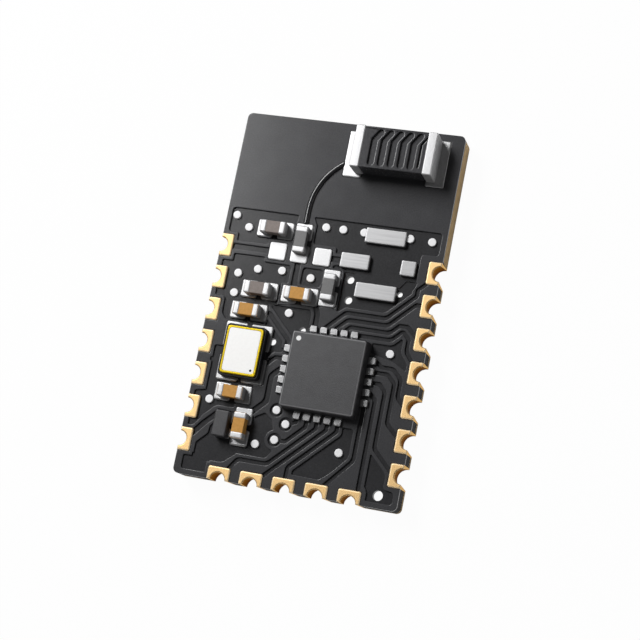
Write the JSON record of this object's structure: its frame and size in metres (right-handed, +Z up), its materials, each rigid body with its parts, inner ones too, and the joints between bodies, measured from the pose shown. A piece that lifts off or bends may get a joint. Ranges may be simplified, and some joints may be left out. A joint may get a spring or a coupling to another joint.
{
  "type": "wireless transceiver module",
  "caption": "Flat black circuit board with half-round gold pins along its edges, a square radio chip, a crystal, a chip antenna and small chip parts, to be soldered flat on a host board.",
  "frame": {"origin": "centre of the board's outline on its soldered underside", "axes": "+Z up from the underside to the parts, +Y along the board to the antenna end, +X to the right"},
  "size_m": [0.0088, 0.0142, 0.002],
  "materials": {
    "laminate": "cut glass-fibre edge, matte",
    "copper": "etched foil, hidden under the mask",
    "solder_mask": "matte black coat with a very fine grain",
    "tin": "bright satin tin",
    "gold": "satin gold plating",
    "solder": "brushed satin solder",
    "lead_metal": "satin tin plating",
    "mould": "matte moulding compound with a fine grain",
    "index_paint": "matte white print",
    "black_ceramic": "dark fired ceramic",
    "seal_gold": "polished gold",
    "lid_metal": "satin white plated lid",
    "antenna_ceramic": "matte black ceramic",
    "terminal": "satin tin plating",
    "feed_coat": "satin black coat",
    "brown_ceramic": "grey-brown fired ceramic",
    "tan_ceramic": "tan fired ceramic",
    "resistor_coat": "dark grey coat"
  },
  "bodies": {
    "root": {"laminate": "laminate", "copper_foil": "copper", "top_mask": "solder_mask", "bottom_mask": "solder_mask", "solder_lands": "tin", "bare_pads": "tin", "via_plugs": "tin", "left_pin_1": "gold", "left_pin_2": "gold", "left_pin_3": "gold", "left_pin_4": "gold", "left_pin_5": "gold", "left_pin_6": "gold", "left_pin_7": "gold", "right_pin_1": "gold", "right_pin_2": "gold", "right_pin_3": "gold", "right_pin_4": "gold", "right_pin_5": "gold", "right_pin_6": "gold", "right_pin_7": "gold", "bottom_pin_1": "gold", "bottom_pin_2": "gold", "bottom_pin_3": "gold", "bottom_pin_4": "gold", "bottom_pin_5": "gold", "tin_bar_1": "solder", "tin_bar_2": "solder", "tin_bar_3": "solder", "tin_bar_4": "solder", "ic_leads": "lead_metal", "ic_ground_pad": "lead_metal", "ic_body": "mould", "moulded_chip": "mould", "ic_index_dot": "index_paint", "crystal_base": "black_ceramic", "crystal_seal_ring": "seal_gold", "crystal_lid": "lid_metal", "antenna_body": "antenna_ceramic", "antenna_terminal_left": "terminal", "antenna_terminal_right": "terminal", "capacitor_terminals_1": "terminal", "capacitor_terminals_2": "terminal", "capacitor_terminals_3": "terminal", "capacitor_terminals_4": "terminal", "capacitor_terminals_5": "terminal", "capacitor_terminals_6": "terminal", "resistor_terminals_1": "terminal", "resistor_terminals_2": "terminal", "feed_line": "feed_coat", "capacitor_body_1": "brown_ceramic", "capacitor_body_2": "brown_ceramic", "capacitor_body_3": "tan_ceramic", "capacitor_body_4": "tan_ceramic", "capacitor_body_5": "tan_ceramic", "capacitor_body_6": "tan_ceramic", "resistor_body_1": "resistor_coat", "resistor_body_2": "resistor_coat"}
  },
  "joints": []
}
